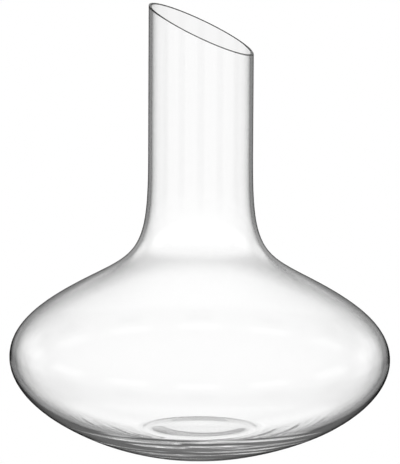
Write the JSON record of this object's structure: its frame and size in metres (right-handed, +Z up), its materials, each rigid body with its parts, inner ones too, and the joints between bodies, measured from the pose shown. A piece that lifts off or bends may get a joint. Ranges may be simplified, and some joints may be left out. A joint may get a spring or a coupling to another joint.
{
  "type": "wine decanter",
  "caption": "Clear glass decanter with a wide flattened bowl, a straight neck and a slanted pouring mouth; it aerates and serves wine.",
  "frame": {"origin": "centre of the foot ring, in the plane that the decanter stands on", "axes": "+Z up along the neck's axis; -X towards the high side of the slanted mouth, +X towards its low side; -Y is the front"},
  "size_m": [0.2, 0.2, 0.237],
  "materials": {
    "clear_glass": "clear colourless blown glass, smooth and fire-polished"
  },
  "bodies": {
    "root": {"glass_body": "clear_glass"}
  },
  "joints": []
}
